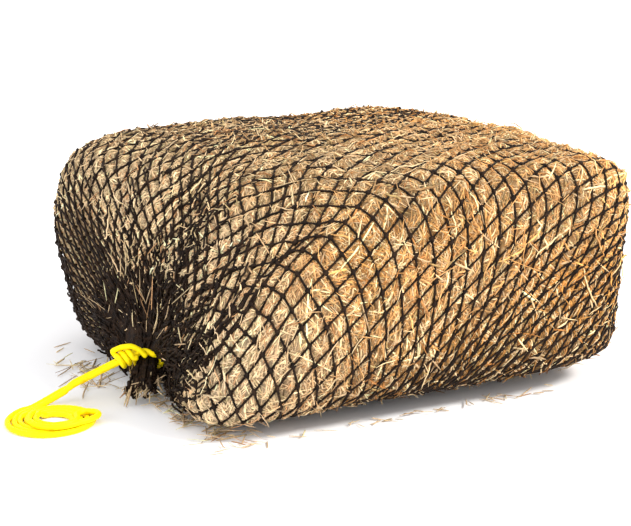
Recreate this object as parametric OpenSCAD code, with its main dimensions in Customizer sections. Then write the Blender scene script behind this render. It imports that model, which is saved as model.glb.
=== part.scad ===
// Small-mesh hay net lying on its broad side, stuffed with flakes of hay.
// X runs along the bag with the gathered mouth at -X, +Z is up,
// and the origin is on the ground under the middle of the filled bag.

/* [Filled bag] */
// Length of the filled bag
bag_l = 700; // [640:10:760]
// Width of the filled bag
bag_w = 620; // [580:10:680]
// Height of the filled bag
bag_h = 340; // [310:10:370]
// Corner radius seen from above
plan_r = 115; // [80:5:130]
// Radius of the near corner at the mouth end, which the netting draws in most
drawn_r = 190; // [150:10:220]
// Radius along the upper edges
upper_r = 95; // [70:5:110]
// Radius along the lower edges
lower_r = 70; // [50:5:85]

/* [Netting and hay] */
// Thickness of the netting, taken as an even sheet of the same weight
net_t = 0.8; // [0.6:0.1:1]
// Number of hay flakes packed along the bag
flake_count = 11; // [11]
// Gap between two flakes
flake_gap = 1; // [0.5:0.5:3]

/* [Mouth] */
// Half-angle of the hollow where the netting draws in to the mouth
funnel_half = 67; // [62:1:70]
// How far the hollow's axis points up from level
funnel_rise = 20; // [16:1:24]
// Radius of the round hollow that the gathered mouth sits in
hollow_r = 48; // [46:1:50]
// Radius of the bunched netting inside the drawstring
neck_r = 15; // [13:1:16]

/* [Drawstring] */
// Diameter of the braided cord
cord_d = 8; // [6:0.5:8]
// Outer radius of the coil that the cord lies in
coil_r = 68; // [60:1:70]
// Radius of the open middle of the coil
coil_eye_r = 20; // [16:1:26]
// Height of the coil
coil_h = 18; // [14:1:20]
// Length of the slip knot
knot_l = 20; // [16:1:22]

/* [Lacing] */
// Radius of a laced seam of twine
lacing_r = 3.6; // [3:0.1:4]
// Length of the seam along the back
side_lacing_l = 420; // [300:10:440]
// Length of the seam across the far end
end_lacing_l = 340; // [240:10:360]

/* [Hidden] */
$fn = 96;

cord_r = cord_d/2;
// Hay starts just inside the netting
hay_inset = net_t + 0.2;
flake_pitch = (bag_l - 2*hay_inset)/flake_count;

// The netting closes at the bottom of the mouth end
funnel_apex = [65 - bag_l/2, -30, 50];
hollow_centre = [34 - bag_l/2, -48, 33];
// The gathered mouth points out, down and to the near side
gather_tilt = 125;
gather_turn = 235;
// Place of the drawstring along the gather, measured from the hollow's centre
ring_s = -30;
ring_r = neck_r + cord_r + 0.3;

// Two flat cuts at the mouth end, where the netting draws the bag in: the way
// each one faces and its distance from the origin. The first is the far lower
// corner, the second is the near upper shoulder.
tucks = [[[-0.874, 0.357, -0.330], 350], [[-0.716, -0.259, 0.648], 362]];

// Seams lie in shallow grooves so that they stay inside the bag's outline
groove_r = 9;
lacing_depth = 4.5;
side_lacing_z = 90;
end_lacing_z = 170;

// Where the two tails leave the drawstring, and the points they run through.
// The first two points are the straight stretch that the slip knot slides on.
cord_exit = [36 - bag_l/2, -31, 67];
tail_route = [[0, 0, 0], [-86, 11, -34], [-95, 13, -38], [-101, 15, -43], [-105, 18, -47]];
tail_spread = 9;
slide_dir = tail_route[1]/norm(tail_route[1]);
knot_start = 24;
coil_centre = [-143, -44];

tail_sides = 8;
cord_yellow = "#f2e21a";
twine_black = "#1c1a1d";
hay_gold = "#c9a566";

// Upright rectangle standing on y = 0, with its own lower and upper corner radii
module soft_rect(w, h, low, high) {
    polygon([
        [low - w/2, 0], [w/2 - low, 0], [w/2, low], [w/2, h - high],
        [w/2 - high, h], [high - w/2, h], [-w/2, h - high], [-w/2, low]
    ]);
    for (side = [-1, 1]) {
        translate([side*(w/2 - low), low]) circle(r = low);
        translate([side*(w/2 - high), h - high]) circle(r = high);
    }
}

// The stuffed bag before anything is hollowed out, drawn in by g all round
module bag_block(g) {
    w = bag_w - 2*g;
    l = bag_l - 2*g;
    h = bag_h - 2*g;
    translate([0, 0, g])
    intersection() {
        rotate([90, 0, 90]) linear_extrude(height = l, center = true)
            soft_rect(w, h, lower_r - g, upper_r - g);
        rotate([90, 0, 0]) linear_extrude(height = w, center = true)
            soft_rect(l, h, lower_r - g, upper_r - g);
        linear_extrude(height = h) plan(l, w, plan_r - g, drawn_r - g);
    }
}

// The bag seen from above, with its own radius for the corner at -X, -Y
module plan(l, w, r, drawn) {
    x = l/2;
    y = w/2;
    polygon([
        [drawn - x, -y], [x - r, -y], [x, r - y], [x, y - r],
        [x - r, y], [r - x, y], [-x, y - r], [-x, drawn - y]
    ]);
    translate([drawn - x, drawn - y]) circle(r = drawn);
    translate([x - r, r - y]) circle(r = r);
    for (side = [-1, 1]) translate([side*(x - r), y - r]) circle(r = r);
}

// Everything beyond one of the flat cuts
module tuck(facing, distance) {
    reach = 600;
    rotate([0, acos(facing.z/norm(facing)), atan2(facing.y, facing.x)])
    translate([-reach, -reach, distance])
        cube([2*reach, 2*reach, reach]);
}

// The cone that the netting follows from the end of the bag down to the mouth
module funnel(g) {
    reach = 420;
    translate(funnel_apex)
    rotate([0, funnel_rise - 90, 0])
    translate([0, 0, -g/sin(funnel_half)])
        cylinder(h = reach, r1 = 0, r2 = reach*tan(funnel_half));
}

// Everything cut from the bag: drawn-in corners, funnel, mouth hollow and seam grooves
module hollows(g) {
    for (t = tucks) tuck(t[0], t[1] - g);
    funnel(g);
    translate(hollow_centre) sphere(r = hollow_r + g);
    translate([0, bag_w/2, side_lacing_z]) rotate([0, 90, 0])
        cylinder(h = side_lacing_l + 2*g + 10, r = groove_r + g, center = true);
    translate([bag_l/2, 0, end_lacing_z]) rotate([90, 0, 0])
        cylinder(h = end_lacing_l + 2*g + 10, r = groove_r + g, center = true);
}

module bag_form(g) {
    difference() {
        bag_block(g);
        hollows(g);
    }
}

module net_body() {
    color(twine_black)
    difference() {
        bag_form(0);
        bag_form(net_t);
    }
}

// One flake, counted from 0 at the mouth end
module flake(i) {
    low_x = hay_inset - bag_l/2 + i*flake_pitch + flake_gap/2;
    color(hay_gold)
    intersection() {
        bag_form(hay_inset);
        translate([low_x, -bag_w/2, 0])
            cube([flake_pitch - flake_gap, bag_w, bag_h]);
    }
}

// A straight seam of twine with a knot at each end
module lacing(length) {
    stop_l = 12;
    color(twine_black) {
        cylinder(h = length, r = lacing_r*0.8, center = true);
        for (side = [-1, 1])
            translate([0, 0, side*(length - stop_l)/2])
                cylinder(h = stop_l, r = lacing_r, center = true);
    }
}

module side_lacing() {
    translate([0, bag_w/2 - lacing_depth, side_lacing_z]) rotate([0, 90, 0])
        lacing(side_lacing_l);
}

module end_lacing() {
    translate([bag_l/2 - lacing_depth, 0, end_lacing_z]) rotate([90, 0, 0])
        lacing(end_lacing_l);
}

// Places children with +Z along the gathered mouth, pointing out of the bag
module at_mouth() {
    translate(hollow_centre) rotate([0, gather_tilt, gather_turn]) children();
}

// Bunched netting: a narrow neck inside the drawstring and a loose tuft outside it
module mouth_gather() {
    tuft_r = neck_r + 9;
    color(twine_black)
    at_mouth()
    rotate_extrude()
        polygon([
            [0, 1 - hollow_r], [neck_r - 7, 1 - hollow_r], [neck_r - 1, 6 - hollow_r],
            [neck_r, ring_s - 6], [neck_r, ring_s + 6], [neck_r + 4, ring_s + 18],
            [tuft_r, ring_s + 36], [tuft_r - 2, ring_s + 52], [0, ring_s + 54]
        ]);
}

// The part of the drawstring that runs through the end meshes round the neck
module drawstring_ring() {
    color(cord_yellow)
    at_mouth() translate([0, 0, ring_s])
    rotate_extrude() translate([ring_r, 0]) circle(r = cord_r);
}

// Places children at a distance along the straight stretch, +Z along the cord
module on_tail(distance) {
    tilt = acos(slide_dir.z);
    turn = atan2(slide_dir.y, slide_dir.x);
    translate(cord_exit + distance*slide_dir) rotate([0, tilt, turn]) children();
}

// Outline round both tails at a distance from the cords' centres
module pair_outline(r) {
    for (side = [-1, 1]) translate([0, side*tail_spread/2]) circle(r = r);
    square([2*r, tail_spread], center = true);
}

// Slip knot: three wraps of cord round both tails, which run through it
module slip_knot() {
    wrap_count = 3;
    wrap_pitch = knot_l/wrap_count;
    wrap_gap = 1.2;
    color(cord_yellow)
    on_tail(knot_start)
    difference() {
        union() {
            linear_extrude(height = knot_l, center = true) pair_outline(cord_d + 0.4);
            for (i = [0:wrap_count - 1])
                translate([0, 0, (i + 0.5)*wrap_pitch - knot_l/2])
                    linear_extrude(height = wrap_pitch - wrap_gap, center = true)
                        pair_outline(cord_d + 1.6);
        }
        linear_extrude(height = knot_l + 2, center = true) pair_outline(cord_r + 0.4);
    }
}

// Direction of a route at point k, from the neighbours on each side of it
function heading(route, k) =
    let (a = route[max(k - 1, 0)], b = route[min(k + 1, len(route) - 1)])
    (b - a)/norm(b - a);

// Sideways direction, level and square to the heading
function sideways(dir) =
    let (s = cross([0, 0, 1], dir))
    s/norm(s);

// Ring of points round a route point, on a route moved sideways by shift
function cord_ring(route, k, shift, r) =
    let (dir = heading(route, k), side = sideways(dir), rise = cross(dir, side))
    [for (j = [0:tail_sides - 1])
        route[k] + shift*side + r*cos(360*j/tail_sides)*side + r*sin(360*j/tail_sides)*rise];

// A tube swept along a route, closed at both ends
module cord_tube(route, shift, r) {
    last = len(route) - 1;
    points = [for (k = [0:last]) each cord_ring(route, k, shift, r)];
    walls = [for (k = [0:last - 1], j = [0:tail_sides - 1])
        let (next = (j + 1)%tail_sides)
        [k*tail_sides + j, (k + 1)*tail_sides + j,
         (k + 1)*tail_sides + next, k*tail_sides + next]];
    start_cap = [[for (j = [0:tail_sides - 1]) j]];
    end_cap = [[for (j = [tail_sides - 1:-1:0]) last*tail_sides + j]];
    polyhedron(points = points, faces = concat(walls, start_cap, end_cap));
}

// One of the two tails, side is -1 or 1
module tail(side) {
    ring_step = 4;
    straight = tail_route[1];
    route = concat(
        [for (k = [0:ring_step]) cord_exit + straight*k/ring_step],
        [for (k = [2:len(tail_route) - 1]) cord_exit + tail_route[k]]
    );
    color(cord_yellow) cord_tube(route, side*tail_spread/2, cord_r);
}

module tail_left() {
    tail(-1);
}

module tail_right() {
    tail(1);
}

// Outer shape of the flat coil that both tails end in
module drawstring_coil() {
    edge_r = 6;
    color(cord_yellow)
    translate([cord_exit.x + coil_centre.x, cord_exit.y + coil_centre.y, 0])
    rotate_extrude() translate([(coil_r + coil_eye_r)/2, 0])
        soft_rect(coil_r - coil_eye_r, coil_h, edge_r, edge_r);
}

net_body();
side_lacing();
end_lacing();
mouth_gather();
drawstring_ring();
slip_knot();
tail_left();
tail_right();
drawstring_coil();
flake(0);  // flake_01
flake(1);  // flake_02
flake(2);  // flake_03
flake(3);  // flake_04
flake(4);  // flake_05
flake(5);  // flake_06
flake(6);  // flake_07
flake(7);  // flake_08
flake(8);  // flake_09
flake(9);  // flake_10
flake(10);  // flake_11
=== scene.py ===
"""A stuffed hay net on a pale floor: netting drawn over hay, loose stems and a drawstring."""
import math

import bpy
import bmesh
import numpy as np
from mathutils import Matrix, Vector
from mathutils.kdtree import KDTree


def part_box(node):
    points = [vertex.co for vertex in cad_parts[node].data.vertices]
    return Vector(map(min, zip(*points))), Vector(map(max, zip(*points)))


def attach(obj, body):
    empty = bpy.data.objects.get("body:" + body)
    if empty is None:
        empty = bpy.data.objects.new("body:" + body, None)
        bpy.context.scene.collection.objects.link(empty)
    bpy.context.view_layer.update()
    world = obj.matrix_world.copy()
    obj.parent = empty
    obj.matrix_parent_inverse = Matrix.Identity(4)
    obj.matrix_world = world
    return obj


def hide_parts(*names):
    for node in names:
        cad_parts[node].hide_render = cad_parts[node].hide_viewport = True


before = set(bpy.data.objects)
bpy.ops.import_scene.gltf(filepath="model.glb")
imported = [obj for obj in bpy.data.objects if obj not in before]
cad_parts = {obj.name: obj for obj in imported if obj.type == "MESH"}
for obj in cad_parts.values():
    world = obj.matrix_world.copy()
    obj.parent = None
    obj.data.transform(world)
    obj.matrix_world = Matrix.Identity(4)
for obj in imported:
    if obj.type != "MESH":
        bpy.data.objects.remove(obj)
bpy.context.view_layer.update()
bag_low, bag_high = (np.array(c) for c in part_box("net_body"))
rng = np.random.default_rng(7)

# ---------------------------------------------------------------- sizes, in metres
TWINE_R = 0.00155
TWINE_SIDES = 6
MESH_BAR = 0.030
MOUTH_ROWS = 15
NECK_ROWS = 3
SEAM_ROW = 999
CORD_R = 0.0040
CORD_STEP = 0.0016
HAY_INSET = 0.002
STEMS_PER_FLAKE = 3000
RELAX_STEPS = 1000
SURFACE_STEP = 0.0048

BAG_L = bag_high[0] - bag_low[0]
MOUTH_X = bag_low[0]
HOLLOW_C = np.array([MOUTH_X + 0.034, -0.048, 0.033])
HOLLOW_R = 0.048
FUNNEL_APEX = np.array([MOUTH_X + 0.065, -0.030, 0.050])
FUNNEL_HALF = math.radians(69)
FUNNEL_RISE = math.radians(20)
FUNNEL_NEAR = 0.5
GATHER_DIR = np.array([-0.470, -0.671, -0.574])
RING_C = HOLLOW_C - 0.030 * GATHER_DIR
CORD_EXIT = np.array([MOUTH_X + 0.036, -0.031, 0.067])
SLIDE_DIR = np.array([-86, 11, -34]) / np.linalg.norm([86, 11, 34])
KNOT_AT = CORD_EXIT + 0.024 * SLIDE_DIR
COIL_C = CORD_EXIT + np.array([-0.143, -0.044, -0.067])
LOWEST = 0.0001
TWINE_LOWEST = TWINE_R + 0.0003


# ---------------------------------------------------------------- small helpers
def unit(v):
    return v / np.maximum(np.linalg.norm(v, axis=-1, keepdims=True), 1e-12)


def waves(points, seed, scale, count=7):
    """Smooth pseudo-random field of about -1 to 1, made of a few sine waves."""
    draw = np.random.default_rng(seed)
    total = np.zeros(points.shape[:-1])
    for _ in range(count):
        direction = unit(draw.normal(size=3)) * (2 * math.pi / scale) * draw.uniform(0.6, 1.5)
        total += np.sin(points @ direction + draw.uniform(0, 2 * math.pi))
    return total / math.sqrt(count)


def smooth_max(a, b, k):
    h = np.clip(0.5 + 0.5 * (a - b) / k, 0, 1)
    return b + (a - b) * h + k * h * (1 - h)


def ease(t):
    """Rises from 0 to 1 with a level start and finish."""
    return t * t * (3 - 2 * t)


def bell(x, centre, width):
    return math.exp(-((x - centre) / width)**2)


def raise_above(points, height):
    """Lifts what is lower than a height up to it, in place."""
    points[..., 2] = np.maximum(points[..., 2], height)


def spokes(angle, first, second):
    """Unit directions at the given angles in the plane of two vectors."""
    return np.cos(angle) * first + np.sin(angle) * second


def mouth_frame():
    """Upward and sideways directions across the gathered neck."""
    rise = CORD_EXIT - RING_C
    upward = unit(rise - GATHER_DIR * (rise @ GATHER_DIR))
    return upward, np.cross(GATHER_DIR, upward)


def new_object(name, mesh, material):
    obj = bpy.data.objects.new(name, mesh)
    bpy.context.scene.collection.objects.link(obj)
    mesh.materials.append(material)
    return obj


def mesh_from(name, verts, faces, smooth=True):
    """A mesh from a vertex array and a list of index arrays, one array per face size.

    Nothing reaches below the ground: what lies on it is pressed flat.
    """
    verts = np.array(verts, np.float32)
    raise_above(verts, LOWEST)
    mesh = bpy.data.meshes.new(name)
    faces = [f for f in faces if len(f)]
    mesh.vertices.add(len(verts))
    mesh.vertices.foreach_set("co", verts.ravel())
    loops = np.concatenate([f.ravel() for f in faces])
    sizes = np.concatenate([np.full(len(f), f.shape[1]) for f in faces])
    mesh.loops.add(len(loops))
    mesh.loops.foreach_set("vertex_index", loops.astype(np.int32))
    mesh.polygons.add(len(sizes))
    starts = np.concatenate([[0], np.cumsum(sizes)[:-1]])
    mesh.polygons.foreach_set("loop_start", starts.astype(np.int32))
    mesh.polygons.foreach_set("loop_total", sizes.astype(np.int32))
    mesh.update(calc_edges=True)
    mesh.polygons.foreach_set("use_smooth", np.full(len(sizes), smooth))
    mesh.update()
    return mesh


def tubes(lines, radii, ups, sides, flat=1.0):
    """Closed tubes along many short centrelines at once.

    lines is (count, points, 3), radii (count, points), ups (count, 3) the side that faces out,
    and flat squeezes each section towards its own surface.
    """
    count, points, _ = lines.shape
    along = np.empty_like(lines)
    along[:, 1:-1] = lines[:, 2:] - lines[:, :-2]
    along[:, 0] = lines[:, 1] - lines[:, 0]
    along[:, -1] = lines[:, -1] - lines[:, -2]
    along = unit(along)
    side = unit(np.cross(along, ups[:, None, :]))
    rise = np.cross(side, along)
    turn = 2 * math.pi * np.arange(sides) / sides
    ring = (np.cos(turn)[:, None] * side[:, :, None, :]
            + flat * np.sin(turn)[:, None] * rise[:, :, None, :])
    verts = lines[:, :, None, :] + radii[:, :, None, None] * ring
    base = (np.arange(count) * points * sides)[:, None, None]
    low = np.arange(points - 1)[None, :, None] * sides
    here = np.arange(sides)[None, None, :]
    after = (here + 1) % sides
    quads = np.stack([base + low + here, base + low + after,
                      base + low + sides + after, base + low + sides + here], -1).reshape(-1, 4)
    first = (base[:, :, 0] + np.arange(sides)[None, ::-1])
    last = (base[:, :, 0] + (points - 1) * sides + np.arange(sides)[None, :])
    return verts.reshape(-1, 3), [quads[:, ::-1], first[:, ::-1], last[:, ::-1]]


def along_path(points, step):
    """A smooth curve through given points, resampled at an even step."""
    points = np.asarray(points, float)
    padded = np.vstack([2 * points[0] - points[1], points, 2 * points[-1] - points[-2]])
    fine = []
    for k in range(len(points) - 1):
        a, b, c, d = padded[k:k + 4]
        t = np.linspace(0, 1, 24, endpoint=False)[:, None]
        fine.append(0.5 * (2 * b + (c - a) * t + (2 * a - 5 * b + 4 * c - d) * t**2
                           + (3 * b - a - 3 * c + d) * t**3))
    fine = np.vstack(fine + [points[-1:]])
    length = run_along(fine)
    want = np.linspace(0, length[-1], max(2, int(round(length[-1] / step)) + 1))
    return np.stack([np.interp(want, length, fine[:, i]) for i in range(3)], 1)


def run_along(points):
    """Distance along a path at each of its points."""
    return np.concatenate([[0], np.cumsum(np.linalg.norm(np.diff(points, axis=0), axis=1))])


def path_length(points):
    return float(np.linalg.norm(np.diff(points, axis=0), axis=1).sum())


def carried_frames(path, closed):
    """Side and rise vectors carried along a path without twisting."""
    if closed:
        along = unit(np.roll(path, -1, 0) - np.roll(path, 1, 0))
    else:
        along = unit(np.gradient(path, axis=0))
    side = np.empty_like(path)
    reference = np.array([0, 0, 1.0]) if abs(along[0, 2]) < 0.9 else np.array([1.0, 0, 0])
    side[0] = unit(np.cross(along[0], reference))
    for k in range(1, len(path)):
        side[k] = unit(side[k - 1] - along[k] * (side[k - 1] @ along[k]))
    return side, np.cross(side, along)


def braided(path, radius, closed=False, sides=16, strands=8, pitch=0.016):
    """A round braided cord as real geometry: two opposite sets of strands cross in relief."""
    side, rise = carried_frames(path, closed)
    run = run_along(path)[:, None]
    turn = 2 * math.pi * np.arange(sides)[None, :] / sides
    wind = 2 * math.pi * run / pitch
    relief = np.maximum(np.cos(strands / 2 * turn + wind), np.cos(strands / 2 * turn - wind))
    size = radius * (0.93 + 0.07 * relief)
    if not closed:
        size[[0, -1]] *= 0.6
    verts = (path[:, None, :] + size[..., None] * (np.cos(turn)[..., None] * side[:, None, :]
                                                   + np.sin(turn)[..., None] * rise[:, None, :]))
    rows = len(path)
    k = np.arange(rows if closed else rows - 1)[:, None]
    j = np.arange(sides)[None, :]
    up = (k + 1) % rows
    quads = np.stack([k * sides + j, up * sides + j, up * sides + (j + 1) % sides,
                      k * sides + (j + 1) % sides], -1).reshape(-1, 4)
    faces = [quads]
    if not closed:
        faces += [np.arange(sides)[None, :], (rows - 1) * sides + np.arange(sides)[None, ::-1]]
    return verts.reshape(-1, 3), faces


def join(parts):
    """One vertex array and face list from several."""
    verts, faces, start = [], [], 0
    for v, f in parts:
        verts.append(v)
        faces += [g + start for g in f]
        start += len(v)
    return np.vstack(verts), faces


def bag_piece(name, mesh, material, slot, *nodes):
    """A piece that rides the bag and stands for the named CAD nodes, if there are any."""
    piece = new_object(name, mesh, material)
    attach(piece, "bag")
    if nodes:
        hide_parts(*nodes)
    return piece


# ---------------------------------------------------------------- materials
def add(nodes, kind, **inputs):
    node = nodes.new(kind)
    for name, value in inputs.items():
        node.inputs[name.replace("_", " ")].default_value = value
    return node


class Look:
    """A material with its nodes: one shader, fed by noise over the object's own coordinates."""

    def __init__(self, name, roughness, specular=0.25):
        self.material = bpy.data.materials.new(name)
        self.material.use_nodes = True
        self.nodes = self.material.node_tree.nodes
        self.links = self.material.node_tree.links
        self.shader = self.nodes["Principled BSDF"]
        self.shader.inputs["Roughness"].default_value = roughness
        self.shader.inputs["Specular IOR Level"].default_value = specular
        self.where = self.nodes.new("ShaderNodeTexCoord")

    def texture(self, kind, **inputs):
        node = add(self.nodes, kind, **inputs)
        self.links.new(self.where.outputs["Object"], node.inputs["Vector"])
        return node

    def remap(self, source, low, high, to_low, to_high):
        """Scales a texture's middle range to a range of brightness."""
        node = add(self.nodes, "ShaderNodeMapRange", From_Min=low, From_Max=high, To_Min=to_low,
                   To_Max=to_high)
        self.links.new(source.outputs["Fac"], node.inputs["Value"])
        return node

    def two_tones(self, source, low, low_tone, high, high_tone):
        """Colours the surface from one tone to another by a texture."""
        ramp = self.nodes.new("ShaderNodeValToRGB")
        for element, place, tone in zip(ramp.color_ramp.elements, (low, high), (low_tone, high_tone)):
            element.position = place
            element.color = (*tone, 1)
        self.links.new(source.outputs["Fac"], ramp.inputs["Fac"])
        self.links.new(ramp.outputs["Color"], self.shader.inputs["Base Color"])

    def bump(self, source, strength, distance):
        node = add(self.nodes, "ShaderNodeBump", Strength=strength, Distance=distance)
        self.links.new(source.outputs["Fac"], node.inputs["Height"])
        self.links.new(node.outputs["Normal"], self.shader.inputs["Normal"])


def hay_material(name):
    """Dry stems: each stem's own colour with darker streaks and blotches and a fine bump."""
    look = Look(name, 0.72)
    tint = look.nodes.new("ShaderNodeAttribute")
    tint.attribute_name = "tint"
    fleck = look.texture("ShaderNodeTexNoise", Scale=260.0, Detail=4.0, Roughness=0.65)
    blotch = look.texture("ShaderNodeTexNoise", Scale=70.0, Detail=3.0)
    both = look.nodes.new("ShaderNodeMath")
    both.operation = "MULTIPLY"
    look.links.new(look.remap(fleck, 0.3, 0.7, 0.62, 1.35).outputs["Result"], both.inputs[0])
    look.links.new(look.remap(blotch, 0.35, 0.65, 0.82, 1.12).outputs["Result"], both.inputs[1])
    scaled = look.nodes.new("ShaderNodeVectorMath")
    scaled.operation = "SCALE"
    look.links.new(tint.outputs["Color"], scaled.inputs[0])
    look.links.new(both.outputs["Value"], scaled.inputs["Scale"])
    look.links.new(scaled.outputs["Vector"], look.shader.inputs["Base Color"])
    look.bump(fleck, 0.35, 0.0006)
    return look.material


def twine_material(name):
    """Black polyethylene twine with laid plies, dusted brown by the hay."""
    look = Look(name, 0.6, specular=0.12)
    dust = look.texture("ShaderNodeTexNoise", Scale=90.0, Detail=5.0, Roughness=0.7)
    look.two_tones(dust, 0.42, (0.0060, 0.0030, 0.0018), 0.75, (0.040, 0.020, 0.010))
    plies = look.texture("ShaderNodeTexWave", Scale=420.0, Distortion=1.5, Detail=1.0)
    plies.bands_direction = "DIAGONAL"
    look.bump(plies, 0.5, 0.0005)
    return look.material


def cord_material(name):
    """Bright yellow braided cord with faint dirt in the braid and fine yarn lines."""
    look = Look(name, 0.5, specular=0.12)
    grime = look.texture("ShaderNodeTexNoise", Scale=45.0, Detail=5.0, Roughness=0.6)
    look.two_tones(grime, 0.28, (0.82, 0.50, 0.002), 0.5, (0.96, 0.76, 0.002))
    yarn = look.texture("ShaderNodeTexNoise", Scale=900.0, Detail=2.0)
    look.bump(yarn, 0.3, 0.0004)
    return look.material


def floor_material(name):
    """Pale matt paper, very slightly uneven."""
    look = Look(name, 0.9)
    paper = look.texture("ShaderNodeTexNoise", Scale=3.0, Detail=6.0)
    look.two_tones(paper, 0.0, (0.86, 0.86, 0.885), 1.0, (0.91, 0.91, 0.93))
    return look.material


# ---------------------------------------------------------------- camera, light and floor
def make_camera():
    azimuth, elevation, distance = math.radians(-27.6), math.radians(15.0), 2.4
    target = Vector((-0.024, 0.0, 0.149))
    level = math.cos(elevation)
    away = Vector((math.sin(azimuth) * level, -math.cos(azimuth) * level, math.sin(elevation)))
    camera = bpy.data.objects.new("camera", bpy.data.cameras.new("camera"))
    bpy.context.scene.collection.objects.link(camera)
    camera.location = target + away * distance
    camera.rotation_euler = away.to_track_quat("Z", "Y").to_euler()
    camera.data.sensor_width = 36.0
    camera.data.lens = 93.3
    camera.data.clip_end = 50
    bpy.context.scene.camera = camera


def sun_light(name, comes_from, strength, softness, tone):
    data = bpy.data.lights.new(name, "SUN")
    data.energy = strength
    data.angle = math.radians(softness)
    data.color = tone
    light = bpy.data.objects.new(name, data)
    bpy.context.scene.collection.objects.link(light)
    light.rotation_euler = Vector(comes_from).to_track_quat("Z", "Y").to_euler()


def make_stage():
    """A pale floor that runs into a pale background, a soft key from the right front, and fill."""
    size = 40.0
    verts = np.array([[-size, -size, 0], [size, -size, 0], [size, size, 0], [-size, size, 0]])
    mesh = mesh_from("floor", verts, [np.array([[0, 1, 2, 3]])], smooth=False)
    new_object("floor", mesh, floor_material("floor"))

    world = bpy.data.worlds.new("studio")
    bpy.context.scene.world = world
    world.use_nodes = True
    sky = world.node_tree.nodes["Background"]
    sky.inputs["Color"].default_value = (1.0, 1.0, 1.0, 1)
    sky.inputs["Strength"].default_value = 1.25
    sun_light("key", (1.7, -1.45, 2.0), 3.4, 14, (1.0, 0.97, 0.92))
    sun_light("fill", (-2.0, -0.9, 0.9), 1.3, 40, (1.0, 0.98, 0.95))
    bpy.context.scene.view_settings.view_transform = "Standard"


# ---------------------------------------------------------------- drawstring
TAIL_ROUTE = [(0, 0, 0), (-0.0215, 0.00275, -0.0085), (-0.043, 0.0055, -0.017),
              (-0.0645, 0.00825, -0.0255), (-0.086, 0.011, -0.034), (-0.095, 0.013, -0.038),
              (-0.101, 0.015, -0.043), (-0.108, 0.0170, -0.0475)]
PAIR_HALF = 0.0045
BIGHT_R = 0.0145
FLOOR_Z = 0.0002
COIL_R = 0.0590
COIL_START = math.radians(97)
COIL_TURNS = 2.0
COIL_INWARD = 0.0172
RING_R = 0.0193


def coil_line():
    """Middle line of the doubled cord in its coil, from the back round by the left."""
    turn_points, climb_points = 20, 15
    climb_sweep, climb_over, climb_height, climb_out = math.radians(232), 0.22, 0.0082, 0.0215
    floor = CORD_R + FLOOR_Z
    points = []
    for k in range(int(COIL_TURNS * turn_points) + 1):
        turned = k / turn_points
        angle = COIL_START + 2 * math.pi * turned
        radius = COIL_R - COIL_INWARD * turned + 0.0012 * math.sin(2.3 * angle)
        points.append((radius * math.cos(angle), radius * math.sin(angle), floor))
    # The end climbs over the turns below it and swings out
    for k in range(1, climb_points + 1):
        part = k / climb_points
        angle = COIL_START + 2 * math.pi * COIL_TURNS + climb_sweep * part
        out = min(max((part - climb_over) / 0.5, 0), 1)
        radius = COIL_R - COIL_INWARD * COIL_TURNS + climb_out * ease(out)
        height = floor + climb_height * ease(min(part / climb_over, 1))
        points.append((radius * math.cos(angle), radius * math.sin(angle), height))
    return np.array(points) + COIL_C


def doubled_cord():
    """One cord that runs out from the mouth, through the coil, round a bight and back again."""
    tail = CORD_EXIT + np.array(TAIL_ROUTE)
    middle = along_path(np.vstack([tail, coil_line()]), 0.0035)
    heading = unit(np.gradient(middle, axis=0))
    level = unit(np.cross(np.array([0, 0, 1.0]), heading))
    # The last stretch opens from the pair's spacing to the width of the bight
    remain = path_length(middle) - run_along(middle)
    open_part = np.clip(1 - remain / 0.030, 0, 1)[:, None]
    half = PAIR_HALF + (BIGHT_R - PAIR_HALF) * ease(open_part)
    out_run = middle - half * level
    back_run = (middle + half * level)[::-1]
    swing = np.radians(np.linspace(-90, 90, 15)[1:-1])[:, None]
    bight = middle[-1] + BIGHT_R * spokes(swing, heading[-1], level[-1])
    return along_path(np.vstack([out_run, bight, back_run]), CORD_STEP)


def make_drawstring(material):
    cord = doubled_cord()
    mesh = mesh_from("drawstring_run", *braided(cord, CORD_R))
    piece = bag_piece("drawstring_run", mesh, material, "cord", "tail_left", "tail_right",
                      "drawstring_coil")
    wraps = make_knot(material)
    make_ring(material)


def tail_frame():
    """Sideways and upward directions across the straight stretch of the tails."""
    side = unit(np.cross(np.array([0, 0, 1.0]), SLIDE_DIR))
    return side, np.cross(SLIDE_DIR, side)


def make_knot(material):
    """Slip knot: wraps round both tails, with the end of the strand laid over them."""
    side, rise = tail_frame()
    wide, tall = PAIR_HALF + 2 * CORD_R + 0.0003, 2 * CORD_R + 0.0003
    turns, pitch = 2.3, 0.0082
    angle = np.linspace(0, 2 * math.pi * turns, 60)[:, None]
    start = -turns * pitch / 2
    helix = (KNOT_AT + (start + pitch * angle / (2 * math.pi)) * SLIDE_DIR
             + wide * np.cos(angle) * side + tall * np.sin(angle) * rise)
    tuck_in = helix[0] - 0.006 * SLIDE_DIR - 0.004 * rise
    # Distances outwards along the tails, sideways and up
    crossing = np.array([(0.0105, -0.006, 0.0145), (0.0030, -0.002, 0.0165), (-0.0060, 0.003, 0.0165),
                         (-0.0150, 0.006, 0.0130), (-0.0225, 0.009, 0.0040),
                         (-0.0270, 0.012, -0.0080)])
    crossing = KNOT_AT + crossing @ np.array([SLIDE_DIR, side, rise])
    path = along_path(np.vstack([tuck_in[None], helix, crossing]), CORD_STEP)
    knot = new_object("slip_knot_wraps", mesh_from("slip_knot_wraps", *braided(path, CORD_R)), material)
    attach(knot, "knot")
    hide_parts("slip_knot")
    return knot


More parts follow.
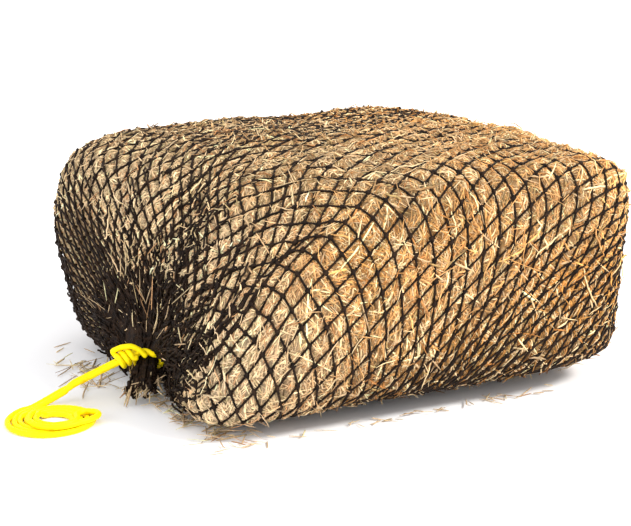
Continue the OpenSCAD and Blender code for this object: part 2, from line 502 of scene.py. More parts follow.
def make_ring(material):
    """The cord where it runs through the end meshes round the neck."""
    angle = np.linspace(0, 2 * math.pi, 80, endpoint=False)[:, None]
    weave = 0.0018 * np.sin(5 * angle)
    radius = RING_R + 0.0006 * np.sin(3 * angle)
    path = RING_C + radius * spokes(angle, *mouth_frame()) + weave * GATHER_DIR
    mesh = mesh_from("drawstring_loop", *braided(path, CORD_R, closed=True))
    bag_piece("drawstring_loop", mesh, material, "cord", "drawstring_ring")


# ---------------------------------------------------------------- the stuffed form
FORM_LONGER = 0.009
FORM_SHIFT = 0.003
EDGE_TOP, EDGE_LOW, EDGE_LOW_FAR = 0.095, 0.080, 0.058
EDGE_PLAN, EDGE_PLAN_DRAWN = 0.115, 0.210
FAR_LEAN, FAR_LEAN_TOP = 0.055, 0.24
# Planes that cut the bag towards the mouth: the way each faces, its distance from the origin,
# and how softly it meets the rest. They are the lean to the floor, the far corner and the
# slanting near shoulder.
MOUTH_CUTS = (
    ((-0.953, 0.0, -0.303), 0.292, 0.03),
    ((-0.874, 0.357, -0.330), 0.346, 0.04),
    ((-0.716, -0.259, 0.648), 0.357, 0.07),
)


def rounded_box_2d(x, y, half_x, half_y, radius):
    qx, qy = np.abs(x) - half_x + radius, np.abs(y) - half_y + radius
    outside = np.hypot(np.maximum(qx, 0), np.maximum(qy, 0))
    return np.minimum(np.maximum(qx, qy), 0) + outside - radius


def form(p):
    """About the signed distance to the stuffed bag's surface, negative inside."""
    centre = (bag_low + bag_high) / 2 - [FORM_SHIFT, 0, 0]
    half = (bag_high - bag_low) / 2 - HAY_INSET + [FORM_LONGER, 0, 0]
    q = p - centre
    x, y, z = q[..., 0], q[..., 1], q[..., 2]
    height = p[..., 2]
    along, aside = np.clip(x / half[0], -1, 1), np.clip(y / half[1], -1, 1)
    # The top sags towards its edges and the underside lifts towards its own
    sag = 0.012 * along**2 + 0.010 * aside**2 + 0.007 * along * aside
    lift = 0.030 * np.abs(aside)**3 + 0.062 * np.maximum(along, 0)**4 * aside**2
    z = z + np.where(z > 0, sag, lift) * z / half[2]
    # The far end leans in towards the floor
    lean = 1 + FAR_LEAN * np.clip((FAR_LEAN_TOP - height) / FAR_LEAN_TOP, 0, 1)
    x = x * np.where(x > 0, lean, 1)
    edge_low = EDGE_LOW - (EDGE_LOW - EDGE_LOW_FAR) * np.clip(x / 0.2, 0, 1)
    edge = np.where(z < 0, edge_low, EDGE_TOP)
    # The near corner at the mouth end is drawn in much rounder than the rest
    drawn = np.clip(-x / 0.12, 0, 1) * np.clip(-y / 0.12, 0, 1)
    across = rounded_box_2d(y, z, half[1], half[2], edge)
    along_box = rounded_box_2d(x, z, half[0], half[2], edge)
    plan_edge = EDGE_PLAN + (EDGE_PLAN_DRAWN - EDGE_PLAN) * drawn
    plan = rounded_box_2d(x, y, half[0], half[1], plan_edge)
    d = smooth_max(smooth_max(across, along_box, 0.03), plan, 0.03)
    for facing, distance, softness in MOUTH_CUTS:
        d = smooth_max(d, p @ np.array(facing) - distance, softness)
    # Uneven filling, less of it where the bag is pressed on the floor
    d = d + 0.0035 * waves(p, 3, 0.16) * np.clip((height - 0.01) / 0.05, 0, 1)
    return smooth_max(smooth_max(d, -funnel(p), 0.045), -hollow(p), 0.02)


def funnel(p):
    """Distance outside the cone that the netting folds into, wider on its near side."""
    axis = np.array([-math.cos(FUNNEL_RISE), 0, math.sin(FUNNEL_RISE)])
    v = p - FUNNEL_APEX
    v[..., 1] *= np.where(v[..., 1] < 0, FUNNEL_NEAR, 1.0)
    depth = v @ axis
    radius = np.linalg.norm(v - depth[..., None] * axis, axis=-1)
    return radius * math.cos(FUNNEL_HALF) - depth * math.sin(FUNNEL_HALF)


def hollow(p):
    """Distance outside the small hollow that the neck stands in."""
    return np.linalg.norm(p - HOLLOW_C, axis=-1) - HOLLOW_R


def outward(p):
    """Unit direction straight out of the form."""
    step = 0.0008
    grad = np.stack([form(p + step * e) - form(p - step * e) for e in np.eye(3)], -1)
    return unit(grad)


def onto_form(p, height=0.0):
    """Moves points straight to a height over the form."""
    for _ in range(3):
        p = p - (form(p) - height)[..., None] * outward(p)
    return p


def lift_clear(points):
    """Raises twine out of the form and the floor, in place, and returns its heights before."""
    d = form(points)
    low = d < TWINE_R
    points[low] += (TWINE_R - d[low])[:, None] * outward(points)[low]
    raise_above(points, TWINE_LOWEST)
    return d


def reach_surface(start, ray, furthest, halvings):
    """Points where rays from inside the form come out of it, found by halving."""
    near, far = np.zeros(ray.shape[:-1]), np.full(ray.shape[:-1], furthest)
    for _ in range(halvings):
        reach = (near + far) / 2
        inside = form(start + reach[..., None] * ray) < 0
        near, far = np.where(inside, reach, near), np.where(inside, far, reach)
    return start + near[..., None] * ray


# ---------------------------------------------------------------- the netting
STATIONS_LEFT, STATIONS_MID, STATIONS_RIGHT = 34, 30, 24
MIDDLE_STATION = STATIONS_LEFT + STATIONS_MID // 2
FAN = 192
AXIS_Z = 0.160
SEAM_HALF = 0.17
SEAM_Z_BACK = 0.09
CORNER_X = -0.285
FAMILY_REACH = 110
ROW_LAST, COLUMN_FIRST, COLUMN_LAST = 92, -64, 40
FAN_ROWS_LEAST = 6


def fan_map():
    """Lines over the form from the mouth to the end seam, one for each direction round the bag.

    Returns their points, the distance along each from the middle section, and the distance
    round the middle section from its near upper edge, positive over the top.
    """
    angle = 2 * math.pi * np.arange(FAN) / FAN
    round_ = np.stack([np.zeros(FAN), np.cos(angle), np.sin(angle)], 1)
    centres, aims = [], []
    left = np.array([MOUTH_X + 0.15, -0.01, 0.11])
    to_mouth = unit(RING_C - left)
    for tilt in np.radians(np.linspace(89, 0, STATIONS_LEFT)):
        centres.append(np.broadcast_to(left, (FAN, 3)))
        aims.append(math.cos(tilt) * round_ + math.sin(tilt) * to_mouth)
    right = np.array([0.20, 0.0, AXIS_Z])
    for part in np.linspace(0, 1, STATIONS_MID + 2)[1:-1]:
        centre = left + part * (right - left) * [1, 0, 0] + ease(part) * (right - left) * [0, 1, 1]
        centres.append(np.broadcast_to(centre, (FAN, 3)))
        aims.append(round_)
    seam_y = SEAM_HALF * np.clip(1.3 * np.cos(angle), -1, 1)
    for tilt in np.radians(np.linspace(0, 89.5, STATIONS_RIGHT)):
        centre = np.broadcast_to(right, (FAN, 3)).copy()
        centre[:, 1] = seam_y * math.sin(tilt)**2
        centres.append(centre)
        aims.append(math.cos(tilt) * round_ + math.sin(tilt) * np.array([1.0, 0, 0]))
    centres, aims = np.stack(centres, 1), unit(np.stack(aims, 1))
    points = reach_surface(centres, aims, 0.6, 20)
    run = np.stack([run_along(line) for line in points])
    straight = slice(STATIONS_LEFT - 4, -STATIONS_RIGHT)
    at_middle = np.array([np.interp(0.0, points[k, straight, 0], run[k, straight])
                          for k in range(FAN)])
    run = run - at_middle[:, None]
    section = points[:, MIDDLE_STATION]
    step = np.linalg.norm(np.roll(section, -1, 0) - section, axis=1)
    girth = step.sum()
    edge = np.argmax(section @ np.array([0, -1.0, 1.0]))
    about = np.concatenate([[0], np.cumsum(step)])
    about = about[edge] - about
    return points, run, about, girth


class Wrap:
    """Turns distance round and distance along into a point on the form."""

    def __init__(self):
        self.points, self.run, self.about, self.girth = fan_map()
        section = self.points[:, MIDDLE_STATION]
        # The side seam runs where the back of the bag comes down to the seam's height
        above_seam = (section[:, 1] > 0.2) & (section[:, 2] > SEAM_Z_BACK)
        at = self.about[np.argmin(np.where(above_seam, section[:, 2], np.inf))]
        self.seam_top = at if at > 0 else at + self.girth
        self.seam_low = self.seam_top - self.girth

    def slot(self, about):
        """Which lines of the fan each distance round lies between, as one number."""
        wanted = (self.about[0] - about) % self.girth
        return np.interp(wanted, self.about[0] - self.about, np.arange(FAN + 1))

    def place(self, about, along):
        slot = self.slot(about)
        low = np.floor(slot).astype(int)
        part = (slot - low)[:, None]
        return self.on(low % FAN, along) * (1 - part) + self.on((low + 1) % FAN, along) * part

    def on(self, lines, along):
        out = np.empty((len(lines), 3))
        for k in range(FAN):
            mine = lines == k
            if mine.any():
                for c in range(3):
                    out[mine, c] = np.interp(along[mine], self.run[k], self.points[k, :, c])
        return out

    def ends(self, about):
        """Distance along to the mouth and to the end seam for each distance round."""
        slot, lines = self.slot(about), np.arange(FAN + 1)
        return [np.interp(slot, lines, self.run[lines % FAN, end]) for end in (0, -1)]


def twine_families():
    """Runs of the two families of twine over the unrolled bag, as offsets for each bar.

    One family climbs to the right at an easy slope. The other falls to the right at first and
    turns steeper bar by bar, because the bag was twisted as it was filled.
    """
    count = np.arange(-FAMILY_REACH, FAMILY_REACH)
    climb = np.radians(np.clip(38 - 0.8 * count, 24, 41))
    # Under the bag the twist runs out again
    fall = np.radians(np.clip(-44 - 5.3 * count, -126, -13) + np.clip(6.0 * (count - 29), 0, 74))
    families = []
    for lean in (climb, fall):
        step = MESH_BAR * np.stack([np.cos(lean), np.sin(lean)], 1)
        run = np.concatenate([[[0, 0]], np.cumsum(step, 0)])
        families.append(run - run[FAMILY_REACH])
    return families


def first_layout(wrap):
    """Lattice knots as distance round and along: the twist on the sides, a fan at the mouth."""
    climb, fall = twine_families()
    row, column = np.meshgrid(np.arange(-MOUTH_ROWS, ROW_LAST), np.arange(COLUMN_FIRST, COLUMN_LAST),
                              indexing="ij")
    shift = column + 0.5 * (row % 2)
    up, down = (row / 2 + shift).astype(int), (row / 2 - shift).astype(int)
    spot = climb[up + FAMILY_REACH] + fall[down + FAMILY_REACH]
    along, about = spot[..., 0] + CORNER_X, spot[..., 1]
    # Towards the mouth the rows close up evenly along each line of the fan
    for j in range(row.shape[1]):
        leaves = about[MOUTH_ROWS, j]
        rim = -0.215 - 0.17 * bell(leaves, -0.19, 0.15) + 0.12 * bell(leaves, 0.04, 0.14)
        past = np.where(along[:, j] > rim)[0]
        first = max(past[0] if len(past) else 0, FAN_ROWS_LEAST)
        mouth, _ = wrap.ends(about[first:first + 1, j])
        part = np.arange(first) / first
        along[:first, j] = mouth + (along[first, j] - mouth) * part
        # Over the near shoulder the lines slant up from the mouth instead of going straight round
        at = about[first, j]
        slant = 0.13 * bell(at, 0.03, 0.18)
        squeeze = 0.75 * max(at + 0.02, 0) * bell(at, 0.08, 0.24)
        about[:first, j] = at - slant * (1 - part)**1.2 - squeeze * (1 - part)**0.7
    return row, along, about


def gather_rows(knots, rows, toward):
    """Bunches the first rows through the neck and out into the tuft."""
    upward, across = mouth_frame()
    angle = np.arctan2((toward - RING_C) @ across, (toward - RING_C) @ upward)
    reach = [0.050, 0.022, -0.004]
    spread = [0.022, 0.0165, 0.0125]
    loose = [0.003, 0.003, 0.001]
    for i in range(NECK_ROWS):
        mine = rows == i
        radius = spread[i] * np.sqrt(rng.uniform(0.25, 1.0, mine.sum()))
        jitter = rng.normal(0, loose[i], mine.sum())
        knots[mine] = (RING_C + (reach[i] + jitter)[:, None] * GATHER_DIR
                       + radius[:, None] * spokes(angle[mine, None], upward, across))
        knots[mine, 2] = np.maximum(knots[mine, 2], 0.003)
    return knots


def lattice_pairs(row):
    """Numbers of the two knots that each bar of the whole lattice joins."""
    number = np.arange(row.size).reshape(row.shape)
    rows, columns = row.shape
    pairs = []
    for i in range(rows - 1):
        odd = int(row[i, 0] % 2)
        for step in (odd, odd - 1):
            j = np.arange(max(0, -step), columns - max(0, step))
            pairs.append(np.stack([number[i, j], number[i + 1, j + step]], 1))
    return np.concatenate(pairs)


def lay_net():
    """The lattice laid on the form and cut at its seams: knots, bars and the row of each knot."""
    wrap = Wrap()
    row, along, about = first_layout(wrap)
    pairs = lattice_pairs(row)
    row, along, about = row.ravel(), along.ravel(), about.ravel()
    _, seam = wrap.ends(about)
    room = np.minimum.reduce([about - wrap.seam_low, wrap.seam_top - about, seam - 0.002 - along])
    live = room >= 0
    bars = pairs[live[pairs[:, 0]] & live[pairs[:, 1]]]
    cut = pairs[live[pairs[:, 0]] != live[pairs[:, 1]]]
    inner = np.where(live[cut[:, 0]], cut[:, 0], cut[:, 1])
    outer = np.where(live[cut[:, 0]], cut[:, 1], cut[:, 0])
    part = room[inner] / (room[inner] - room[outer])
    # A cut bar ends on its seam, and stubs too short to tie are left out
    keep = part > 0.15
    inner, outer, part = inner[keep], outer[keep], part[keep]
    cut_about = about[inner] + part * (about[outer] - about[inner])
    cut_along = along[inner] + part * (along[outer] - along[inner])

    used = np.where(live)[0]
    renumber = np.full(row.size, -1)
    renumber[used] = np.arange(len(used))
    ends = len(used) + np.arange(len(inner))
    bars = np.concatenate([renumber[bars], np.stack([renumber[inner], ends], 1)])
    about, along = np.append(about[used], cut_about), np.append(along[used], cut_along)
    knots = wrap.place(about, along)
    rows = np.append(row[used] + MOUTH_ROWS, np.full(len(inner), SEAM_ROW))
    # Every knot is steered in the mouth by where its column leaves the mouth end
    lead = wrap.place(about, np.full(len(about), -0.40))
    return gather_rows(knots, rows, lead), bars, rows


def summed(index, values, count):
    """Adds up rows of values that share an index."""
    return np.stack([np.bincount(index, values[:, c], count) for c in range(3)], 1)


def relax_net():
    """Pulls the laid-out knots into netting of even bars, drawn tight over the form."""
    knots, bars, rows = lay_net()
    total = len(knots)
    a, b = bars[:, 0], bars[:, 1]
    share = np.bincount(bars.ravel(), minlength=total)[:, None].astype(float)
    free = (rows >= NECK_ROWS) & (rows < SEAM_ROW) & (share[:, 0] > 0)
    share = np.maximum(share, 1)
    rest = np.full((len(bars), 1), MESH_BAR)
    seamed = rows[b] == SEAM_ROW
    rest[seamed] = np.linalg.norm(knots[b] - knots[a], axis=1)[seamed, None]
    home = knots.copy()
    # Away from the mouth the knots keep near their places and are drawn in to the form
    held = np.clip((knots[:, 0] + 0.33) / 0.10, 0, 1)[:, None] * 0.06
    hug = np.clip((knots[:, 0] + 0.27) / 0.10, 0, 1) * 0.12
    stand = 0.0016
    for _ in range(RELAX_STEPS):
        gap = knots[b] - knots[a]
        length = np.linalg.norm(gap, axis=1, keepdims=True)
        stretch = length - rest
        # Twine pulls fully when stretched and only props a little when slack
        push = np.where(stretch > 0, 0.5, 0.10) * stretch * gap / np.maximum(length, 1e-9)
        move = summed(a, push, total) - summed(b, push, total)
        pull = (summed(a, knots[b], total) + summed(b, knots[a], total)) / share - knots
        knots = knots + np.where(free[:, None], 1.5 * move / share + 0.08 * pull
                                 + held * (home - knots), 0)
        d = form(knots)
        normal = outward(knots)
        inside = free & (d < stand)
        knots[inside] += (stand - d[inside])[:, None] * normal[inside]
        proud = free & (d > stand)
        knots[proud] -= (hug[proud] * (d[proud] - stand))[:, None] * normal[proud]
        raise_above(knots, 0.0025)
    return knots, bars, rows


def bar_lines(knots, bars):
    """Centrelines of the bars, laid over the form between their knots."""
    a, b = knots[bars[:, 0]], knots[bars[:, 1]]
    part = np.linspace(0, 1, 5)[None, :, None]
    lines = a[:, None, :] * (1 - part) + b[:, None, :] * part
    lift_clear(lines[:, 1:-1])
    raise_above(lines, TWINE_LOWEST)
    return lines


def twine_tubes(lines, ups, sides=TWINE_SIDES):
    return tubes(lines, np.full(lines.shape[:2], TWINE_R), ups, sides)


def make_netting(knots, bars, rows, lines, material):
    ups = outward(lines[:, 2])
    in_mouth = rows[bars[:, 0]] < NECK_ROWS
    twine = twine_tubes(lines[~in_mouth], ups[~in_mouth])
    bag_piece("netting_twine", mesh_from("netting_twine", *twine), material, "twine", "net_body")

    tied = rows < SEAM_ROW
    lumps = join(knot_lumps(knots, bars, lines, tied & (rows >= NECK_ROWS)))
    bag_piece("netting_knots", mesh_from("netting_knots", *lumps), material, "twine")

    folds = twine_tubes(*slack_folds(lines, ups, rows[bars[:, 0]]), sides=5)
    bag_piece("netting_folds", mesh_from("netting_folds", *folds), material, "twine")

    tuft = twine_tubes(lines[in_mouth], ups[in_mouth])
    bunch = join([tuft, neck_core()] + knot_lumps(knots, bars, lines, tied & (rows < NECK_ROWS)))
    bag_piece("mouth_bunch", mesh_from("mouth_bunch", *bunch), material, "twine", "mouth_gather")


def slack_folds(lines, ups, row):
    """Spare netting folded together towards the mouth: more twine the nearer the neck.

    There is little of it where the form faces the near side and down.
    """
    draw = np.random.default_rng(41)
    away = np.linalg.norm(lines[:, 2] - RING_C, axis=1)
    facing = -ups[:, 1] - 0.6 * ups[:, 2]
    folds, outs = [], []
    for layer in range(3):
        dense = np.clip((0.17 - 0.03 * layer - away) / 0.07, 0, 1)
        wide = np.clip((0.31 - 0.05 * layer - away) / 0.16, 0, 1)
        chance = np.maximum(dense * np.clip((0.50 - facing) / 0.3, 0, 1),
                            0.75 * wide * np.clip((0.18 - facing) / 0.3, 0, 1))
        mine = (draw.uniform(size=len(lines)) < chance) & (row >= NECK_ROWS) & (away > 0.040)
        count = mine.sum()
        move = draw.normal(0, 0.0035, (count, 1, 3)) + draw.normal(0, 0.0013, (count, 5, 3))
        lift = draw.uniform(0.000, 0.006, (count, 1, 1))
        line = lines[mine] + move + lift * ups[mine][:, None, :]
        lying = lift_clear(line).max(1) < 0.011
        folds.append(line[lying])
        outs.append(ups[mine][lying])
    return np.concatenate(folds), np.concatenate(outs)


def knot_lumps(knots, bars, lines, chosen):
    """Each knot is two short fat turns of twine crossing on the line of its bars."""
    lean = np.zeros((len(knots), 2, 3))
    lean[:, 0] = [1.0, 0, 0]
    lean[:, 1] = [0, 0, 1.0]
    heading = unit(lines[:, 1] - lines[:, 0])
    for k in (0, 1):
        side = slice(k, None, 2)
        lean[bars[side, 0], k] = heading[side]
    alone = np.abs((lean[:, 0] * lean[:, 1]).sum(1)) > 0.98
    out = outward(knots)
    lean[alone, 1] = np.cross(out, lean[:, 0])[alone]
    span = np.array([-0.00425, -0.00187, 0.00187, 0.00425])
    swell = np.array([0.9, 1.75, 1.75, 0.9]) * TWINE_R
    parts = []
    for way in range(2):
        centre = knots + (0.0006 if way else -0.0002) * out
        line = centre[:, None, :] + span[None, :, None] * lean[:, way][:, None, :]
        size = np.broadcast_to(swell, line.shape[:2])
        parts.append(tubes(line[chosen], size[chosen], out[chosen], TWINE_SIDES))
    return parts


LACING_HEIGHT = 0.0065
# Length of one turn, distance from the middle and starting angle of each strand
LACING_STRANDS = ((0.016, 0.0013, 0.0), (0.016, 0.0013, math.pi), (0.0105, 0.0031, 0.7))


def make_lacing(node, seam, material):
    """A laced seam: twisted core strands with a running twine whipped round them."""
    centre = along_path(onto_form(seam, LACING_HEIGHT), 0.0009)
    run = np.linspace(0, path_length(centre), len(centre))
    out = outward(centre)
    across = unit(np.cross(np.gradient(centre, axis=0), out))
    parts = []
    for pitch, radius, start in LACING_STRANDS:
        strand = centre + radius * spokes((start + 2 * math.pi * run / pitch)[:, None], out, across)
        raise_above(strand, TWINE_LOWEST)
        parts.append(twine_tubes(strand[None], out[:1]))
    # Each end is tied off with a few tight turns
    for end, beside in ((0, 1), (-1, -2)):
        swing = np.linspace(0, 5 * 2 * math.pi, 60)[:, None]
        inwards = unit(centre[beside] - centre[end])
        turns = (centre[end] + 0.0036 * spokes(swing, out[end], across[end])
                 + 0.0150 * (swing / swing[-1]) * inwards)
        parts.append(twine_tubes(turns[None], out[end][None]))
    name = node + "_twine"
    bag_piece(name, mesh_from(name, *join(parts)), material, "twine", node)


def neck_core():
    """Dark packed twine in the middle of the gathered neck."""
    upward, across = mouth_frame()
    run = np.array([-0.020, -0.008, 0.004, 0.018, 0.034])
    flare = np.array([1.15, 1.0, 0.95, 1.1, 1.45])
    twist = np.array([-0.3, -0.1, 0.0, 0.2, 0.4])
    parts = []
    for _ in range(26):
        angle = rng.uniform(0, 2 * math.pi)
        radius = 0.0125 * math.sqrt(rng.uniform(0, 1)) * flare
        swing = angle + twist * rng.uniform(-1, 1)
        line = (RING_C + run[:, None] * GATHER_DIR
                + radius[:, None] * spokes(swing[:, None], upward, across))
        raise_above(line, 0.004)
        parts.append(tubes(line[None], np.full((1, 5), 0.0028), upward[None], TWINE_SIDES))
    return join(parts)


# ---------------------------------------------------------------- the hay
POCKET_C = np.array([MOUTH_X - 0.005, 0.190, 0.110])
POCKET_R = np.array([0.10, 0.065, 0.075])
POCKET_DEPTH = 0.024
# STRAW is made paler partly as painted light, for the less lit mouth end
STRAW = np.array([0.76, 0.56, 0.34])
GOLD = np.array([0.63, 0.295, 0.072])
OLIVE = np.array([0.34, 0.240, 0.130])
RUST = np.array([0.36, 0.125, 0.025])
BLEACHED = np.array([0.93, 0.74, 0.43])
GREEN = np.array([0.28, 0.23, 0.09])
# From and to on a draw of 0 to 1, the tone, and how far a stem takes it on
STEM_TONES = ((0.0, 0.10, RUST, 0.6), (0.10, 0.32, BLEACHED, 0.65),
              (0.32, 0.40, GREEN, 0.55), (0.40, 0.56, STRAW, 0.6))
FLAKES = 11
FLAKE_GAP = 0.0012
FLAKE_AREA = 0.115
STEM_SIDES = 3


class TwineField:
    """How far any point is from the nearest twine, so that the hay bulges between the bars."""

    def __init__(self, lines):
        part = np.linspace(0, 1, 3)[None, None, :, None]
        dense = lines[:, :-1, None, :] * (1 - part) + lines[:, 1:, None, :] * part
        points = dense.reshape(-1, 3)
        self.tree = KDTree(len(points))
        for k, p in enumerate(points):
            self.tree.insert(p, k)
        self.tree.balance()

    def distance(self, points):
        flat = points.reshape(-1, 3)
        return np.array([self.tree.find(p)[2] for p in flat]).reshape(points.shape[:-1])

    def bulge(self, points):
        """Height of the hay over the form: pressed in at the twine, proud in the open mesh."""
        d = self.distance(points)
        rise = 1 - np.exp(-(d / 0.0085)**2)
        soft = 0.82 + 0.18 * waves(points, 11, 0.05)
        away = (points - POCKET_C) / POCKET_R
        pocket = POCKET_DEPTH * np.exp(-(away**2).sum(-1))
        return -0.0012 + 0.0085 * rise * soft * np.clip(1.6 - d / 0.03, 0.4, 1) - pocket


def form_grid(step):
    """An even grid over the form: each point of a box is drawn straight in to the surface."""
    middle = np.array([0.02, 0.0, 0.16])
    low, high = bag_low - 0.001, bag_high + 0.001
    counts = np.maximum(2, np.round((high - low) / step)).astype(int)
    axes = [np.linspace(low[k], high[k], counts[k] + 1) for k in range(3)]
    verts, faces, start = [], [], 0
    for k in range(3):
        i, j = (k + 1) % 3, (k + 2) % 3
        for end in (0, 1):
            a, b = np.meshgrid(axes[i], axes[j], indexing="ij")
            p = np.empty(a.shape + (3,))
            p[..., i], p[..., j], p[..., k] = a, b, (low, high)[end][k]
            number = np.arange(a.size).reshape(a.shape)
            quads = np.stack([number[:-1, :-1], number[1:, :-1], number[1:, 1:], number[:-1, 1:]], -1)
            quads = quads.reshape(-1, 4)
            faces.append((quads if end else quads[:, ::-1]) + start)
            verts.append(p.reshape(-1, 3))
            start += a.size
    verts, faces = np.vstack(verts), np.vstack(faces)
    keys = np.round((verts - low) / (step * 0.01)).astype(np.int64)
    _, keep, merged = np.unique(keys, axis=0, return_index=True, return_inverse=True)
    verts, faces = verts[keep], merged.ravel()[faces]
    return reach_surface(middle, verts - middle, 1.02, 22), faces


def hay_colour(points, draw, spread=1.0):
    """Colour of hay: straw at the mouth end, golden along the side, olive on top, with painted light
    and shade.
    """
    x = (points[:, 0] - bag_low[0]) / BAG_L
    top = np.clip((points[:, 2] - 0.24) / 0.08, 0, 1) * np.clip((0.75 - x) / 0.3, 0.25, 1)
    patch = waves(points, 21, 0.22)
    gold = np.clip(0.92 * np.clip((x - 0.08) / 0.25, 0, 1) + 0.12 * patch, 0, 1)
    # The pale straw at the mouth end is partly the hay's own tone and partly painted light, brighter
    # where the end gets less light
    mix = STRAW + gold[:, None] * (GOLD - STRAW)
    # The olive on top is partly the hay's own duller tone and partly painted shade of stems under the
    # dense netting
    mix = mix + (0.72 * top)[:, None] * (OLIVE - mix)
    # Painted shade: the golden hay is darkened low down, where the light from above falls less
    low = np.clip((0.14 - points[:, 2]) / 0.10, 0, 1) * gold
    # Painted light: the far end is made brighter, as if lit from the right, and less of the low painted
    # shade falls there
    far_end_painted_light = np.clip((x - 0.86) / 0.12, 0, 1)
    mix = mix * ((1 - 0.62 * low * (1 - far_end_painted_light)) * (1 + 0.75 * far_end_painted_light))[:, None]
    count = len(points)
    pick = draw.uniform(size=count)
    for least, most, tone, amount in STEM_TONES:
        chosen = ((pick >= least) & (pick < most)).astype(float) * amount * spread
        mix = mix + chosen[:, None] * (tone - mix)
    return np.clip(mix * draw.lognormal(0, 0.22 * spread, count)[:, None], 0.01, 0.95)


def paint(mesh, colours):
    layer = mesh.color_attributes.new("tint", "FLOAT_COLOR", "POINT")
    data = np.ones((len(colours), 4), np.float32)
    data[:, :3] = colours
    layer.data.foreach_set("color", data.ravel())


def stem_lines(roots, normals, field, draw, length, points, loose_share):
    """Stems lying over the bulged hay, some with an end lifted clear of it."""
    count = len(roots)
    grain = np.stack([waves(roots, 31 + k, 0.14) for k in range(3)], -1)
    heading = 0.8 * grain + draw.normal(size=(count, 3)) * [0.8, 0.8, 1.3]
    heading = unit(heading - normals * (heading * normals).sum(1)[:, None])
    across = np.cross(normals, heading)
    run = np.linspace(-0.5, 0.5, points)[None, :] * length[:, None]
    bend = draw.normal(0, 2.4, count)[:, None] * run**2
    lines = onto_form(roots[:, None, :] + run[..., None] * heading[:, None, :]
                      + bend[..., None] * across[:, None, :])
    lift = draw.exponential(0.0007, count)[:, None]
    end = np.clip(run / length[:, None] + 0.5, 0, 1)
    loose = (draw.uniform(size=count) < loose_share) * draw.uniform(0.002, 0.010, count)
    height = field.bulge(lines) + lift + loose[:, None] * end**2
    ripple = draw.normal(0, 0.0004, lines.shape[:2])
    lines = lines + (height + ripple)[..., None] * outward(lines)
    raise_above(lines, 0.0022)
    return lines


STEM_SORTS = (  # share of stems, middle length, shortest, longest, points, share with a loose end
    (0.70, 0.015, 0.008, 0.024, 4, 0.03),
    (0.25, 0.030, 0.020, 0.045, 8, 0.06),
    (0.05, 0.055, 0.040, 0.090, 12, 0.20),
)


def flake_piece(index, low_x, high_x, verts, faces, field, material):
    """One flake: a slice of the bulged form, with its own loose stems on the outside."""
    draw = np.random.default_rng(100 + index)
    name = "hay_%02d" % (index + 1)
    centre_x = verts[faces].mean(1)[:, 0]
    near = faces[(centre_x > low_x - 0.02) & (centre_x < high_x + 0.02)]
    mesh = sliced_mesh(name, low_x, high_x, verts, near)
    at = np.empty(len(mesh.vertices) * 3)
    mesh.vertices.foreach_get("co", at)
    paint(mesh, hay_colour(at.reshape(-1, 3), draw, 0.5) * 0.42)
    bag_piece(name, mesh, material, "hay", "flake_%02d" % (index + 1))
    corner = verts[faces[(centre_x > low_x) & (centre_x < high_x)]]
    stems_piece("stems_%02d" % (index + 1), corner, field, draw, material)


def sliced_mesh(name, low_x, high_x, verts, faces):
    """The part of a surface between two planes across X, closed by a face at each cut."""
    used, local = np.unique(faces, return_inverse=True)
    temp = mesh_from("slice", verts[used], [local.reshape(faces.shape)])
    bm = bmesh.new()
    bm.from_mesh(temp)
    bpy.data.meshes.remove(temp)
    for plane_x, way in ((low_x, -1), (high_x, 1)):
        if bag_low[0] < plane_x < bag_high[0]:
            geom = bm.verts[:] + bm.edges[:] + bm.faces[:]
            bmesh.ops.bisect_plane(bm, geom=geom, plane_co=(plane_x, 0, 0), plane_no=(way, 0, 0),
                                   clear_outer=True)
            rim = [e for e in bm.edges if e.is_boundary
                   and all(abs(v.co.x - plane_x) < 1e-5 for v in e.verts)]
            bmesh.ops.edgenet_fill(bm, edges=rim)
    bmesh.ops.recalc_face_normals(bm, faces=bm.faces[:])
    for face in bm.faces:
        face.smooth = True
    mesh = bpy.data.meshes.new(name)
    bm.to_mesh(mesh)
    bm.free()
    return mesh


def stems_piece(name, corner, field, draw, material):
    """Loose stems that start at random places on a flake's outer faces, given by their corners."""
    area = np.linalg.norm(np.cross(corner[:, 2] - corner[:, 0], corner[:, 3] - corner[:, 1]), axis=1)
    underneath = corner.mean(1)[:, 2] < 0.01
    area = area * np.where(underneath, 0.25, 1.0)
    count = int(STEMS_PER_FLAKE * (area.sum() / FLAKE_AREA))
    picked = draw.choice(len(corner), size=count, p=area / area.sum())
    mix = draw.dirichlet(np.ones(4), len(picked))
    roots = (corner[picked] * mix[..., None]).sum(1)
    normals = outward(roots)
    tone = hay_colour(roots, draw)
    parts, colours, start = [], [], 0
    for share, middle, least, most, points, loose in STEM_SORTS:
        mine = slice(start, start + int(share * len(roots)))
        start = mine.stop
        count = len(roots[mine])
        length = np.clip(draw.lognormal(math.log(middle), 0.35, count), least, most)
        line = stem_lines(roots[mine], normals[mine], field, draw, length, points, loose)
        width = np.clip(draw.lognormal(math.log(0.00095), 0.35, count), 0.0005, 0.0021)
        taper = np.interp(np.linspace(0, 1, points), [0, 0.2, 0.8, 1], [0.55, 1, 0.95, 0.4])
        parts.append(tubes(line, width[:, None] * taper, normals[mine], STEM_SIDES, flat=0.6))
        colours.append(np.repeat(tone[mine], points * STEM_SIDES, axis=0))
    stems = mesh_from(name, *join(parts))
    paint(stems, np.concatenate(colours))
    bag_piece(name, stems, material, "hay")


def make_hay(field, material):
    verts, faces = form_grid(SURFACE_STEP)
    verts = verts + field.bulge(verts)[:, None] * outward(verts)
    raise_above(verts, 0.0016)
    for k in range(FLAKES):
        low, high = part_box("flake_%02d" % (k + 1))
        low_x = low[0] + FLAKE_GAP / 2 if k > 0 else bag_low[0] - 1
        high_x = high[0] - FLAKE_GAP / 2 if k < FLAKES - 1 else bag_high[0] + 1
        flake_piece(k, low_x, high_x, verts, faces, field, material)


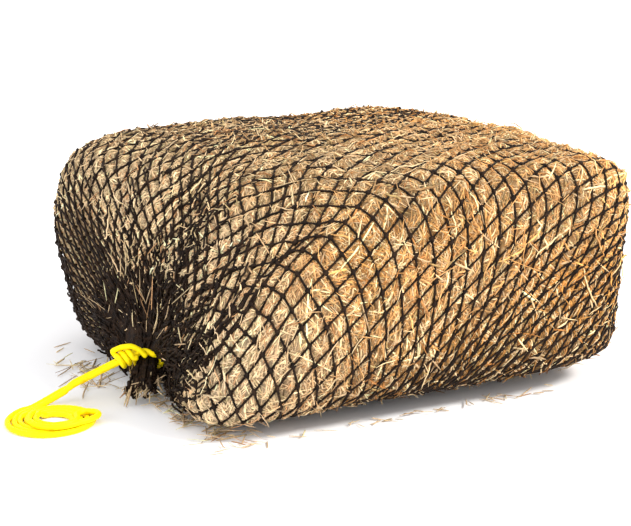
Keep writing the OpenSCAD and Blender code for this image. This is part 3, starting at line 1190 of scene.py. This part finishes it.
def stray_sheaf(draw, count, centre, spread, heading, wander, length):
    """Loose stems scattered round a place, most of them along one heading."""
    middle = centre + draw.normal(size=(count, 3)) * spread
    way = unit(np.asarray(heading) + draw.normal(size=(count, 3)) * wander)
    size = draw.uniform(*length, count)
    run = np.linspace(-0.5, 0.5, STRAY_POINTS)[None, :] * size[:, None]
    bow = draw.normal(0, 2.0, count)[:, None] * run**2
    side = unit(np.cross(way, draw.normal(size=(count, 3))))
    return middle[:, None, :] + run[..., None] * way[:, None, :] + bow[..., None] * side[:, None, :]


STRAY_POINTS, STRAY_SIDES = 7, 4
# Wisps shed on the floor: how many, where, how spread out, their heading and range of length
FLOOR_WISPS = (
    (70, (-0.345, 0.085, 0.004), (0.022, 0.045, 0.002), (0.5, 1.0, 0.05), (0.015, 0.055)),
    (60, (-0.300, -0.120, 0.004), (0.012, 0.060, 0.002), (0.3, 1.0, 0.0), (0.012, 0.045)),
    (50, (-0.270, -0.215, 0.004), (0.020, 0.035, 0.002), (1.0, -0.6, 0.0), (0.012, 0.045)),
    (40, (0.00, -0.275, 0.003), (0.13, 0.006, 0.001), (1.0, 0.0, 0.0), (0.012, 0.040)),
)


def make_strays(material):
    """Stems caught in the funnel and the tuft, and wisps shed on the floor by the mouth."""
    draw = np.random.default_rng(55)
    sheaves = []
    for _ in range(45):
        # Stems in the funnel point at the mouth
        angle, reach = draw.uniform(0.25, 2.9), draw.uniform(0.045, 0.17)
        spot = RING_C + reach * np.array([-0.12, math.cos(angle), math.sin(angle)])
        spot = onto_form(spot[None], draw.uniform(0.004, 0.013))[0]
        sheaves.append(stray_sheaf(draw, 1, spot, 0.001, unit(spot - RING_C), 0.30, (0.015, 0.055)))
    for count, centre, spread, heading, length in FLOOR_WISPS:
        sheaves.append(stray_sheaf(draw, count, np.array(centre), np.array(spread), heading,
                                   np.array([0.9, 0.9, 0.05]), length))
    tuft = RING_C + 0.040 * GATHER_DIR
    sheaves.append(stray_sheaf(draw, 60, tuft, np.array([0.012, 0.012, 0.006]),
                               GATHER_DIR * [1, 1, 0.6], 0.5, (0.015, 0.050)))
    lines = np.concatenate(sheaves)
    # Wisps that would stick out past the bag on the floor are left out
    lines = lines[(lines[..., 0].max(1) < 0.30) & (np.abs(lines[..., 1]).max(1) < 0.31)]
    raise_above(lines, 0.0014)
    width = np.clip(draw.lognormal(math.log(0.0009), 0.3, len(lines)), 0.0006, 0.0017)
    taper = np.array([0.5, 0.9, 1, 1, 1, 0.9, 0.4])
    ups = np.tile([0.2, -0.4, 0.9], (len(lines), 1))
    stems = mesh_from("stray_stems", *tubes(lines, width[:, None] * taper, ups, STRAY_SIDES, flat=0.6))
    # Painted shade: all stray stems are darkened by a quarter, for the shaded funnel and mouth
    tone = hay_colour(np.tile([MOUTH_X, 0, 0.2], (len(lines), 1)), draw) * 0.75
    paint(stems, np.repeat(tone, STRAY_POINTS * STRAY_SIDES, axis=0))
    bag_piece("stray_stems", stems, material, "hay")


# ---------------------------------------------------------------- build
make_camera()
make_stage()
cord_yellow = cord_material("cord_yellow")
make_drawstring(cord_yellow)
twine_black = twine_material("twine_black")
hay_dry = hay_material("hay_dry")
net_knots, net_bars, net_rows = relax_net()
net_lines = bar_lines(net_knots, net_bars)
make_netting(net_knots, net_bars, net_rows, net_lines, twine_black)
make_hay(TwineField(net_lines), hay_dry)
make_strays(hay_dry)
seam_run = np.linspace(-1, 1, 60)[:, None]
side_seam = np.array([0, bag_high[1], SEAM_Z_BACK]) + 0.208 * seam_run * [1, 0, 0]
end_seam = np.array([bag_high[0], 0, 0.17]) + 0.168 * seam_run * [0, 1, 0]
make_lacing("side_lacing", side_seam, twine_black)
make_lacing("end_lacing", end_seam, twine_black)
